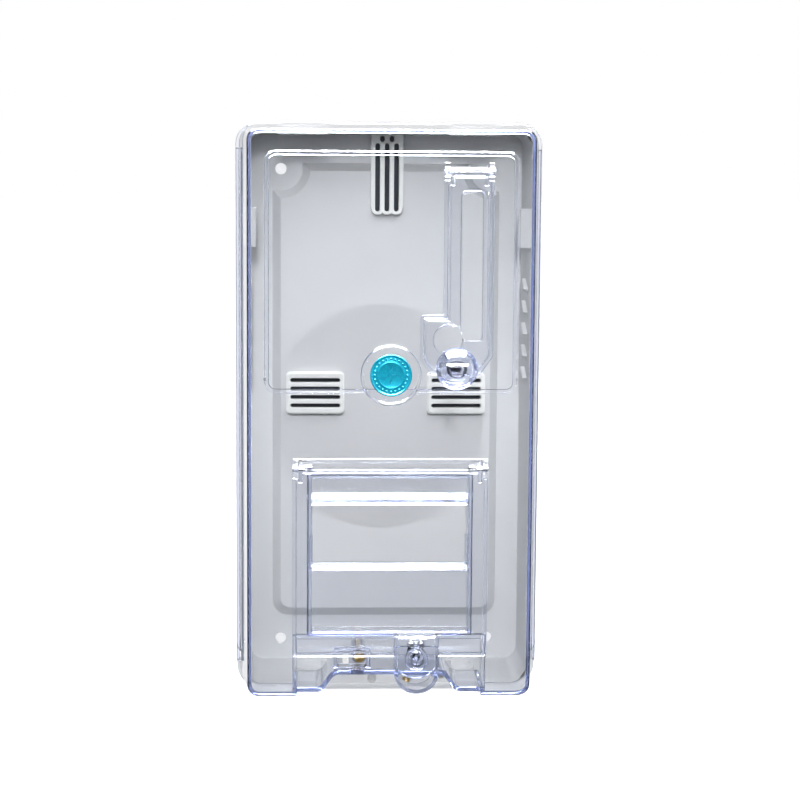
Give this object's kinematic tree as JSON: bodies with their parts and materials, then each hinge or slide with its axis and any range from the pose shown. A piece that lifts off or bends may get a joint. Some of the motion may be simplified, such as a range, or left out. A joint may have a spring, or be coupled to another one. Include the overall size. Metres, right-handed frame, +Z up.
{
  "type": "meter socket enclosure",
  "caption": "Wall-mounted enclosure for one electricity meter and its breakers, with a grey base, a clear top-hung cover, a card door and a breaker flap.",
  "frame": {"origin": "centre of the four wall holes, in the plane of the back face", "axes": "+X to the right as seen from the front, +Y into the wall, +Z up; the cover looks along -Y"},
  "size_m": [0.2104, 0.133, 0.4016],
  "materials": {
    "grey_abs": "fine moulded grain, satin",
    "pad_abs": "fine moulded grain, satin",
    "clear_pc": "clear polished polycarbonate",
    "gasket_rubber": "matt, pale grey",
    "black_rubber": "matt moulded",
    "brass_part": "turned",
    "badge_teal": "metallic lacquer, embossed",
    "white_nylon": "satin",
    "pin_steel": "ground",
    "cam_steel": "zinc plated stamping"
  },
  "bodies": {
    "base": {"base_shell": "grey_abs", "rim_gasket": "gasket_rubber", "meter_pad_top": "pad_abs", "meter_pad_left": "pad_abs", "meter_pad_right": "pad_abs", "cable_grommets": "gasket_rubber", "cover_insert": "brass_part", "lock_insert": "brass_part"},
    "cover": {"main_cover": "clear_pc", "badge_disc": "badge_teal", "seal_post": "white_nylon", "card_door_pins": "pin_steel", "flap_pins": "pin_steel"},
    "cover_screw": {"cover_screw": "brass_part", "cover_screw_washer": "black_rubber", "cover_screw_clip": "cam_steel"},
    "card_door": {"card_door": "clear_pc", "card_door_oring": "black_rubber"},
    "card_knob": {"card_knob": "clear_pc", "card_cam": "white_nylon", "card_cam_screw": "cam_steel"},
    "breaker_flap": {"breaker_flap": "clear_pc", "flap_lock_housing": "clear_pc", "flap_lock_screws": "pin_steel"},
    "flap_lock": {"flap_lock_barrel": "clear_pc", "flap_lock_cam": "cam_steel", "flap_cam_nut": "cam_steel"}
  },
  "joints": [
    {"name": "cover_swing", "type": "hinge", "parent": "base", "child": "cover", "pos_m": [0, -0.0578, 0.2003], "axis": [-1, 0, 0], "range_deg": [0, 100]},
    {"name": "cover_screw_turn", "type": "hinge", "parent": "cover", "child": "cover_screw", "pos_m": [-0.02, -0.098, -0.1612], "axis": [0, 1, 0], "continuous": true},
    {"name": "card_door_swing", "type": "hinge", "parent": "cover", "child": "card_door", "pos_m": [0.051, -0.1184, 0.1693], "axis": [-1, 0, 0], "range_deg": [0, 110]},
    {"name": "card_knob_turn", "type": "hinge", "parent": "card_door", "child": "card_knob", "pos_m": [0.0434, -0.125, 0.0393], "axis": [0, 1, 0], "range_deg": [0, 90]},
    {"name": "flap_swing", "type": "hinge", "parent": "cover", "child": "breaker_flap", "pos_m": [0, -0.1154, -0.029], "axis": [-1, 0, 0], "range_deg": [0, 110]},
    {"name": "flap_lock_turn", "type": "hinge", "parent": "breaker_flap", "child": "flap_lock", "pos_m": [0.01785, -0.12, -0.157], "axis": [0, 1, 0], "range_deg": [0, 90]}
  ]
}
